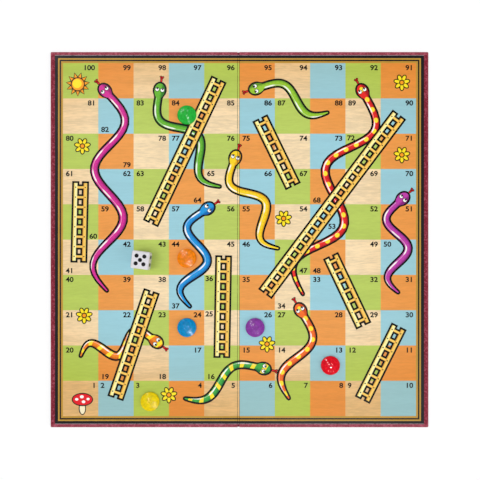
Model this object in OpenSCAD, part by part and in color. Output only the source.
// Folding snakes and ladders board with its six counters and its die.
// The printed face points to +Z and the back lies on Z = 0. +X is to the right of the
// print and +Y is towards its top edge. The origin is the middle of the board's back.

/* [Printed grid] */
// Side of one printed square
square_side = 28; // [24:0.5:36]

/* [Printed border] */
// Width of the black band at the edge of the label
outer_black_w = 2.5; // [1.5:0.1:3.5]
// Width of the gold line inside the black band
outer_gold_w = 1.2; // [0.8:0.1:2]
// Width of the black line between the two gold lines
inner_black_w = 1.2; // [0.6:0.1:2]
// Width of the gold line round the squares
inner_gold_w = 1.5; // [0.8:0.1:2.5]

/* [Board] */
// Leathercloth left bare at the left and right edges
side_margin = 3.6; // [3:0.1:8]
// Leathercloth left bare at the top and bottom edges
end_margin = 2.6; // [2.5:0.1:8]
// Thickness of the greyboard
core_t = 2; // [1.8:0.1:3]
// Thickness of the leathercloth
cover_t = 0.3; // [0.2:0.05:0.5]
// Thickness of the label's paper
label_t = 0.25; // [0.15:0.05:0.4]
// Leathercloth folded over onto the face
turn_in_w = 15; // [12:1:20]
// Radius of the outer corners, seen from above
corner_r = 1.2; // [0.8:0.1:3]
// Radius of the wrapped edges
edge_r = 0.5; // [0.3:0.05:0.8]

/* [Fold] */
// Distance between the two creases
fold_w = 1.6; // [1.2:0.1:3]
// Distance from the middle of the grid to the middle of the fold
fold_shift = -0.8; // [-1:0.1:0]
// Width of the hinge cloth glued to each half
hinge_cloth_w = 15; // [10:1:20]

/* [Printing] */
// Thickness of one layer of ink
ink_t = 0.05; // [0.04:0.01:0.1]
// Width of the black line round the snakes and ladders
outline_w = 1.5; // [0.8:0.1:1.8]

/* [Snakes] */
// Width of a snake's body inside its outline
snake_body_w = 5; // [4:0.2:7]
// Length of a snake's head
snake_head_l = 12; // [9:0.5:14]
// Width of a snake's head inside its outline
snake_head_w = 8.2; // [7:0.2:10]

/* [Ladders] */
// Width of a ladder inside its outline
ladder_w = 10.4; // [9:0.2:13]
// Width of a ladder's rail
ladder_rail_w = 2.7; // [2:0.1:3.2]
// Width of a ladder's rung
ladder_rung_w = 1.8; // [1.2:0.1:2.5]
// Distance between two rungs
ladder_pitch = 7.6; // [6:0.1:10]
// Length of rail past the last rung
ladder_end_l = 3.4; // [2:0.2:5]

/* [Counters] */
// Diameter of a counter
counter_d = 15; // [12:0.5:18]
// Height of a counter
counter_h = 3.8; // [3:0.1:5]
// Height of a counter's upright rim
counter_rim_h = 1.3; // [0.8:0.1:1.8]
// Radius of the rim's lower edge
counter_foot_r = 0.3; // [0.1:0.05:0.5]
// Width of the sloping shoulder round a counter's top
counter_shoulder_w = 1.2; // [0.8:0.1:2]
// Height of the shoulder
counter_shoulder_h = 1; // [0.6:0.1:1.4]
// Height of the moulded rings on a counter's top
counter_ring_h = 0.18; // [0.1:0.02:0.3]

/* [Die] */
// Side of the die
die_side = 14; // [12:0.5:16]
// Radius of the die's edges
die_edge_r = 1.5; // [0.8:0.1:2]
// Diameter of a pip
pip_d = 3.4; // [2.4:0.1:3.8]
// Depth of a pip
pip_depth = 0.6; // [0.55:0.05:0.9]
// Thickness of the paint in a pip
pip_paint_t = 0.55; // [0.2:0.05:0.55]

/* [Hidden] */

// Squares along each side of the grid
side_count = 10;
// Names of the three parts of the face that the two creases part
LEFT = 0;
WEB = 1;
RIGHT = 2;
// Places of the four printed colours in the repeating row
GREEN = 0;
ORANGE = 1;
WOOD = 2;
BLUE = 3;
// Rounded edges and corners are drawn with this many steps each
edge_steps = 4;
corner_steps = 6;
// Cuts run past the solid by this much
overrun = 1;

grid_side = side_count * square_side;
border_w = outer_black_w + outer_gold_w + inner_black_w + inner_gold_w;
label_side = grid_side + 2 * border_w;
board_w = label_side + 2 * side_margin;
board_d = label_side + 2 * end_margin;

// Heights of the layers above the back
core_z = cover_t;
wrap_z = core_z + core_t;
face_z = wrap_z + cover_t;
label_z = face_z + label_t;
squares_z = label_z + ink_t;
outlines_z = squares_z + ink_t;
print_z = outlines_z + ink_t;

// The creases, and the stretch of X that each part of the face takes
left_crease_x = fold_shift - fold_w / 2;
right_crease_x = fold_shift + fold_w / 2;
function part_low(part) = [-board_w / 2, left_crease_x, right_crease_x][part];
function part_high(part) = [left_crease_x, right_crease_x, board_w / 2][part];
function outer_x(part) = part == LEFT ? part_low(part) : part_high(part);
function crease_x(part) = part == LEFT ? part_high(part) : part_low(part);
function outward(part) = part == LEFT ? -1 : 1;

// Middle of a square, from its column and row counted from the bottom left square
function place(shares) = [for (share = shares) (share - (side_count - 1) / 2) * square_side];

// Points of a rectangle whose corners are rounded by the radii listed from the low
// corner anticlockwise
function corner(x, y, r, start, steps) =
    r == 0
        ? [[x, y]]
        : [for (i = [0:steps]) let (a = start + 90 * i / steps) [x + r * cos(a), y + r * sin(a)]];
function rounded(low, high, radii, steps) = concat(
    corner(low.x + radii[0], low.y + radii[0], radii[0], 180, steps),
    corner(high.x - radii[1], low.y + radii[1], radii[1], 270, steps),
    corner(high.x - radii[2], high.y - radii[2], radii[2], 0, steps),
    corner(low.x + radii[3], high.y - radii[3], radii[3], 90, steps)
);

// A box between two corners
module block(low, high) {
    translate(low) cube(high - low);
}

// Outline of one half seen from above, drawn in from the cover's outside by inset
module half_plan(part, inset) {
    r = corner_r - inset;
    x = [part_low(part) + inset, part_high(part) - inset];
    y = board_d / 2 - inset;
    radii = part == LEFT ? [r, 0, 0, r] : [0, r, r, 0];
    polygon(rounded([x[0], -y], [x[1], y], radii, corner_steps));
}

// Outside of one wrapped half: its plan, its front profile and its side profile in common
module wrapped_half(part) {
    x = [part_low(part), part_high(part)];
    radii = part == LEFT ? [edge_r, 0, 0, edge_r] : [0, edge_r, edge_r, 0];
    intersection() {
        linear_extrude(face_z) half_plan(part, 0);
        translate([0, board_d / 2, 0]) rotate([90, 0, 0]) linear_extrude(board_d)
            polygon(rounded([x[0], 0], [x[1], face_z], radii, edge_steps));
        translate([x[0], 0, 0]) rotate([90, 0, 90]) linear_extrude(x[1] - x[0])
            polygon(rounded([-board_d / 2, 0], [board_d / 2, face_z],
                [edge_r, edge_r, edge_r, edge_r], edge_steps));
    }
}

// The opening that the turned-in leathercloth leaves on the face, between two heights
module face_window(part, from_x, to_x, low_z, high_z) {
    y = board_d / 2 - turn_in_w;
    block([min(from_x, to_x), -y, low_z], [max(from_x, to_x), y, high_z]);
}

// Where the turn-in ends, and where the glued hinge cloth begins
function turn_in_x(part) = outer_x(part) - outward(part) * turn_in_w;
function cloth_x(part) = crease_x(part) + outward(part) * hinge_cloth_w;

// Leathercloth wrapped round one half and turned in on the face
module cover(part) {
    difference() {
        wrapped_half(part);
        translate([0, 0, core_z]) linear_extrude(core_t) half_plan(part, cover_t);
        face_window(part, turn_in_x(part), crease_x(part) - outward(part) * overrun,
            wrap_z, face_z + overrun);
    }
}

// Greyboard of one half
module core(part) {
    translate([0, 0, core_z]) linear_extrude(core_t) half_plan(part, cover_t);
}

// Lining paper that levels the face between the turn-in and the hinge cloth
module filler(part) {
    face_window(part, turn_in_x(part), cloth_x(part), wrap_z, face_z);
}

// Hinge cloth glued to one half under the label
module hinge_flange(part) {
    face_window(part, cloth_x(part), crease_x(part), wrap_z, face_z);
}

// Hinge cloth between the creases, which shows in the bare margins
module hinge_cloth_strip() {
    block([left_crease_x, -board_d / 2 + edge_r, wrap_z],
        [right_crease_x, board_d / 2 - edge_r, face_z]);
}

// Label paper on one part of the face, up to a height
module label_sheet(part, top_z) {
    low = max(part_low(part), -label_side / 2);
    high = min(part_high(part), label_side / 2);
    block([low, -label_side / 2, face_z], [high, label_side / 2, top_z]);
}

// One of the frames round the grid, from one distance to another from the label's edge,
// as far as it lies on one part of the face
module border_frame(part, from, to) {
    outer = label_side / 2 - from;
    inner = label_side / 2 - to;
    translate([0, 0, label_z]) linear_extrude(ink_t) intersection() {
        difference() {
            square(2 * outer, center = true);
            square(2 * inner, center = true);
        }
        translate([part_low(part), -label_side / 2])
            square([part_high(part) - part_low(part), label_side]);
    }
}

// Colour of a square: the four colours repeat along a row, two places on in each new row
function square_colour(col, row) = (col + 2 * ((row + 1) % 2)) % 4;

// Every square of one colour, as far as it lies on one part of the face
module squares(part, colour) {
    for (row = [0:side_count - 1], col = [0:side_count - 1]) {
        middle = place([col, row]);
        low = max(middle.x - square_side / 2, part_low(part));
        high = min(middle.x + square_side / 2, part_high(part));
        if (square_colour(col, row) == colour && high > low)
            block([low, middle.y - square_side / 2, label_z],
                [high, middle.y + square_side / 2, squares_z]);
    }
}

// Snakes: the tail's column and row, the head's column and row, the sideways swing as a
// share of a square, and the number of full bends along the body
snake_shares = [
    [0.75, 3.05, 0.85, 8.55, 0.42, 2],
    [6.3, 2.95, 8.1, 8.5, 0.5, 2],
    [3.95, 6, 2.2, 8.5, 0.32, 1.5],
    [0, 1.2, 1.95, 1.75, 0.28, 1.5],
    [3.1, 2.6, 3.4, 5.25, 0.34, 1.5],
    [5.6, 4.25, 4.3, 6.6, 0.32, 1.5],
    [7, 8.1, 5.2, 8.85, 0.26, 1],
    [9, 3, 8.95, 5.5, 0.3, 1.5],
    [5.9, 0, 6.35, 2.3, 0.34, 1],
    [2.95, 0, 4.95, 0.9, -0.26, 1]
];

// Ladders: the foot's column and row, then the top's
ladder_shares = [
    [5.25, 3, 9, 8],
    [1, 0.05, 2, 3],
    [2, 5, 3.9, 9],
    [8, 0, 9, 2],
    [8, 2.1, 7.1, 4],
    [-0.05, 3.9, 0, 6.1],
    [6, 6.05, 5.1, 7.9],
    [4, 1.2, 4.05, 4]
];

// Steps along a snake's body and along its head
body_steps = 36;
head_steps = 8;
// A snake's tail thickens over this share of its length, from this share of its width
tail_share = 0.4;
tail_tip_share = 0.16;
// The widest place of the head, as a share of its length, and the neck's share of the body
head_middle_share = 0.56;
neck_share = 0.8;

// A point on a snake's centre line, from the tail at 0 to the neck at 1
function snake_point(shares, s) =
    let (
        tail = place([shares[0], shares[1]]),
        neck = place([shares[2], shares[3]]),
        along = (neck - tail) / norm(neck - tail),
        across = [-along.y, along.x],
        swing = shares[4] * square_side * sin(360 * shares[5] * s)
    )
    tail + s * (neck - tail) + swing * across;

// Direction of the centre line, measured over a small share of its length
function snake_direction(shares, s) =
    let (reach_share = 0.002,
        step = snake_point(shares, s + reach_share) - snake_point(shares, s - reach_share))
    step / norm(step);

// Half width of the body, which thickens from the tail and narrows at the neck
function body_half(s) =
    snake_body_w / 2
    * (s < tail_share ? tail_tip_share + (1 - tail_tip_share) * sin(90 * s / tail_share) : 1)
    * (1 - (1 - neck_share) * max(0, (s - tail_share) / (1 - tail_share)));

// Half width of the head at a distance past the neck, with an outline of width grow
function head_half(distance, grow) =
    let (
        rear = head_middle_share * snake_head_l,
        reach = snake_head_l - rear + grow,
        off = (distance - rear) / (distance < rear ? rear : reach)
    )
    max(
        (snake_head_w / 2 + grow) * sqrt(max(0, 1 - pow(off, 2))),
        (snake_body_w / 2 * neck_share + grow) * (distance < rear ? 1 : 0)
    );

// Stations along a snake: middle, direction and half width, with an outline of width grow
function snake_stations(shares, grow) =
    let (
        end = snake_point(shares, 1),
        heading = snake_direction(shares, 1),
        body = [for (i = [0:body_steps - 1])
            let (s = i / body_steps)
            [snake_point(shares, s), snake_direction(shares, s), body_half(s) + grow]],
        head = [for (i = [0:head_steps])
            let (turn = 180 * (1 - i / head_steps),
                distance = (snake_head_l + grow) * (1 + cos(turn)) / 2)
            [end + distance * heading, heading, head_half(distance, grow)]]
    )
    concat([[body[0][0] - grow * body[0][1], body[0][1], body[0][2] / 2]], body, head);

// Outline of a snake, up its left side and back down its right side
function snake_outline(shares, grow) =
    let (
        stations = snake_stations(shares, grow),
        last = len(stations) - 1,
        side = function (i, way)
            stations[i][0] + way * stations[i][2] * [-stations[i][1].y, stations[i][1].x]
    )
    concat([for (i = [0:last]) side(i, 1)], [for (i = [last - 1:-1:0]) side(i, -1)]);

// Rectangle of a rail or rung, in a ladder's own frame, with an outline of width grow
module ladder_bar(low, high, grow) {
    translate(low - [grow, grow]) square(high - low + 2 * [grow, grow]);
}

// One ladder as flat shapes, with an outline of width grow
module ladder_shape(shares, grow) {
    foot = place([shares[0], shares[1]]);
    top = place([shares[2], shares[3]]);
    length = norm(top - foot);
    rungs = floor(length / ladder_pitch);
    translate(foot) rotate(atan2(top.y - foot.y, top.x - foot.x)) {
        for (way = [-1, 1]) {
            middle = way * (ladder_w - ladder_rail_w) / 2;
            ladder_bar([0, middle - ladder_rail_w / 2],
                [length, middle + ladder_rail_w / 2], grow);
        }
        for (i = [0:rungs - 1]) {
            x = ladder_end_l + (length - 2 * ladder_end_l) * i / (rungs - 1);
            ladder_bar([x - ladder_rung_w / 2, -ladder_w / 2 + ladder_rail_w],
                [x + ladder_rung_w / 2, ladder_w / 2 - ladder_rail_w], grow);
        }
    }
}

// Whether a shape that spans the listed places in X reaches one part of the face
function reaches(part, xs) = min(xs) < part_high(part) && max(xs) > part_low(part);

// Flat shapes kept to one part of the face and raised to a layer of ink
module inked(part, low_z) {
    translate([0, 0, low_z]) linear_extrude(ink_t) intersection() {
        children();
        translate([part_low(part), -label_side / 2])
            square([part_high(part) - part_low(part), label_side]);
    }
}

// Flat shapes of the snakes that reach one part of the face, with an outline of width grow
module flat_snakes(part, grow) {
    for (shares = snake_shares) {
        outline = snake_outline(shares, grow);
        if (reaches(part, [for (point = outline) point.x])) polygon(outline);
    }
}

// Flat shapes of the ladders that reach one part of the face, with an outline of width grow
module flat_ladders(part, grow) {
    for (shares = ladder_shares)
        if (reaches(part, place([shares[0], shares[2]]))) ladder_shape(shares, grow);
}

// Coloured snakes of one part of the face, which pass under the ladders
module snakes(part) {
    inked(part, outlines_z) difference() {
        flat_snakes(part, 0);
        flat_ladders(part, outline_w);
    }
}

// Coloured ladders of one part of the face
module ladders(part) {
    inked(part, outlines_z) flat_ladders(part, 0);
}

// Black silhouettes under the snakes and ladders of one part of the face
module outlines(part) {
    inked(part, squares_z) {
        flat_snakes(part, outline_w);
        flat_ladders(part, outline_w);
    }
}

// Columns and rows on which the counters and the die stand
green_shares = [3.01, 8.02];
orange_shares = [3.01, 3.97];
blue_shares = [3.01, 2.01];
purple_shares = [4.94, 2.01];
red_shares = [7.07, 0.94];
yellow_shares = [1.97, -0.08];
die_shares = [1.76, 3.91];
// Turn of the die about its upright axis
die_turn = -7;

// A counter's top: steps from the shoulder to the middle, and its moulded rings
top_steps = 14;
ring_count = 2.5;

// Height of a counter's top at a share of the way from the middle to the shoulder
function counter_top(share) =
    let (
        shoulder_z = counter_rim_h + counter_shoulder_h,
        crown = counter_h - counter_ring_h - shoulder_z
    )
    shoulder_z + crown * (1 - pow(share, 2)) + counter_ring_h * (1 + cos(360 * ring_count * share)) / 2;

// One moulded counter: foot, upright rim, sloping shoulder and ringed dome
module counter(shares) {
    r = counter_d / 2;
    dome_r = r - counter_shoulder_w;
    foot = [for (i = [0:edge_steps])
        let (a = -90 + 90 * i / edge_steps)
        [r - counter_foot_r + counter_foot_r * cos(a), counter_foot_r + counter_foot_r * sin(a)]];
    shoulder = [for (i = [0:edge_steps])
        let (a = 90 * i / edge_steps)
        [dome_r + counter_shoulder_w * cos(a), counter_rim_h + counter_shoulder_h * sin(a)]];
    dome = [for (i = [1:top_steps])
        let (share = 1 - i / top_steps)
        [dome_r * share, counter_top(share)]];
    translate([place(shares).x, place(shares).y, print_z])
        rotate_extrude($fn = 96) polygon(concat([[0, 0]], foot, shoulder, dome));
}

// Faces of the die: the turn that brings the top to the face, and the pips on it
die_faces = [
    [[0, 0, 0], 5],
    [[180, 0, 0], 2],
    [[0, 90, 0], 6],
    [[0, -90, 0], 1],
    [[90, 0, 0], 4],
    [[-90, 0, 0], 3]
];
// Places of the pips as shares of half the die's side
pip_share = 0.43;
function pip_places(count) =
    let (a = pip_share * die_side / 2)
    concat(
        count % 2 == 1 ? [[0, 0]] : [],
        count > 1 ? [[-a, -a], [a, a]] : [],
        count > 3 ? [[-a, a], [a, -a]] : [],
        count == 6 ? [[0, -a], [0, a]] : []
    );
// Radius of the ball that hollows a pip, and its middle above the face
pip_ball_r = (pow(pip_d / 2, 2) + pow(pip_depth, 2)) / (2 * pip_depth);
pip_ball_z = pip_ball_r - pip_depth;
// The paint stays clear of the hollow's wall by this much
paint_gap = 0.02;
// The die's corners are cut by a ball of this share of its side
die_ball_share = 0.74;

// Puts what follows on the top of the die, where the die stands
module at_die() {
    translate([place(die_shares).x, place(die_shares).y, print_z + die_side / 2])
        rotate(die_turn) children();
}

// Puts what follows at every pip, at the middle of the ball that hollows it
module at_pips() {
    for (face = die_faces)
        rotate(face[0])
            for (at = pip_places(face[1]))
                translate([at.x, at.y, die_side / 2 + pip_ball_z]) children();
}

// A long bar with rounded edges, as wide as the die
module die_bar() {
    h = die_side / 2;
    translate([0, 0, -h]) linear_extrude(die_side)
        polygon(rounded([-h, -h], [h, h], [for (i = [1:4]) die_edge_r], edge_steps));
}

module die_body() {
    at_die() difference() {
        intersection() {
            die_bar();
            rotate([90, 0, 0]) die_bar();
            rotate([0, 90, 0]) die_bar();
            sphere(die_ball_share * die_side, $fn = 96);
        }
        at_pips() sphere(pip_ball_r, $fn = 48);
    }
}

// Paint lying in the bottom of every pip
module pip_paint() {
    r = pip_ball_r - paint_gap;
    top = pip_paint_t - pip_ball_r;
    rim = asin(top / r);
    at_die() at_pips() rotate_extrude($fn = 48) polygon(concat(
        [for (i = [0:edge_steps])
            let (a = -90 + (90 + rim) * i / edge_steps)
            [r * cos(a), r * sin(a)]],
        [[0, top]]
    ));
}

module left_cover() { color("brown") cover(LEFT); }
module left_core() { color("gray") core(LEFT); }
module left_filler() { color("whitesmoke") filler(LEFT); }
module left_label() { color("ivory") label_sheet(LEFT, label_z); }
module left_print_green() { color("yellowgreen") squares(LEFT, GREEN); }
module left_print_orange() { color("sandybrown") squares(LEFT, ORANGE); }
module left_print_wood() { color("wheat") squares(LEFT, WOOD); }
module left_print_blue() { color("lightblue") squares(LEFT, BLUE); }
module left_print_black() { color("black") black_bands(LEFT); }
module left_print_gold() { color("darkgoldenrod") gold_lines(LEFT); }
module left_outlines() { color("black") outlines(LEFT); }
module left_snakes() { color("mediumseagreen") snakes(LEFT); }
module left_ladders() { color("khaki") ladders(LEFT); }

module right_cover() { color("brown") cover(RIGHT); }
module right_core() { color("gray") core(RIGHT); }
module right_filler() { color("whitesmoke") filler(RIGHT); }
module right_label() { color("ivory") label_sheet(RIGHT, label_z); }
module right_print_green() { color("yellowgreen") squares(RIGHT, GREEN); }
module right_print_orange() { color("sandybrown") squares(RIGHT, ORANGE); }
module right_print_wood() { color("wheat") squares(RIGHT, WOOD); }
module right_print_blue() { color("lightblue") squares(RIGHT, BLUE); }
module right_print_black() { color("black") black_bands(RIGHT); }
module right_print_gold() { color("darkgoldenrod") gold_lines(RIGHT); }
module right_outlines() { color("black") outlines(RIGHT); }
module right_snakes() { color("mediumseagreen") snakes(RIGHT); }
module right_ladders() { color("khaki") ladders(RIGHT); }

module hinge_cloth_left() { color("firebrick") hinge_flange(LEFT); }
module hinge_cloth_web() { color("firebrick") hinge_cloth_strip(); }
module hinge_cloth_right() { color("firebrick") hinge_flange(RIGHT); }
module label_web() { color("wheat") label_sheet(WEB, squares_z); }
module web_outlines() { color("black") outlines(WEB); }
module web_snakes() { color("mediumseagreen") snakes(WEB); }

module counter_green() { color("limegreen") counter(green_shares); }
module counter_orange() { color("darkorange") counter(orange_shares); }
module counter_blue() { color("dodgerblue") counter(blue_shares); }
module counter_purple() { color("mediumpurple") counter(purple_shares); }
module counter_red() { color("red") counter(red_shares); }
module counter_yellow() { color("gold") counter(yellow_shares); }
module die() { color("white") die_body(); }
module die_pips() { color("black") pip_paint(); }

// The black bands and the gold lines of the border, from the label's edge inwards
module black_bands(part) {
    border_frame(part, 0, outer_black_w);
    border_frame(part, outer_black_w + outer_gold_w, border_w - inner_gold_w);
}
module gold_lines(part) {
    border_frame(part, outer_black_w, outer_black_w + outer_gold_w);
    border_frame(part, border_w - inner_gold_w, border_w);
}

left_cover();
left_core();
left_filler();
left_label();
left_print_green();
left_print_orange();
left_print_wood();
left_print_blue();
left_print_black();
left_print_gold();
left_outlines();
left_snakes();
left_ladders();
right_cover();
right_core();
right_filler();
right_label();
right_print_green();
right_print_orange();
right_print_wood();
right_print_blue();
right_print_black();
right_print_gold();
right_outlines();
right_snakes();
right_ladders();
hinge_cloth_left();
hinge_cloth_web();
hinge_cloth_right();
label_web();
web_outlines();
web_snakes();
counter_green();
counter_orange();
counter_blue();
counter_purple();
counter_red();
counter_yellow();
die();
die_pips();
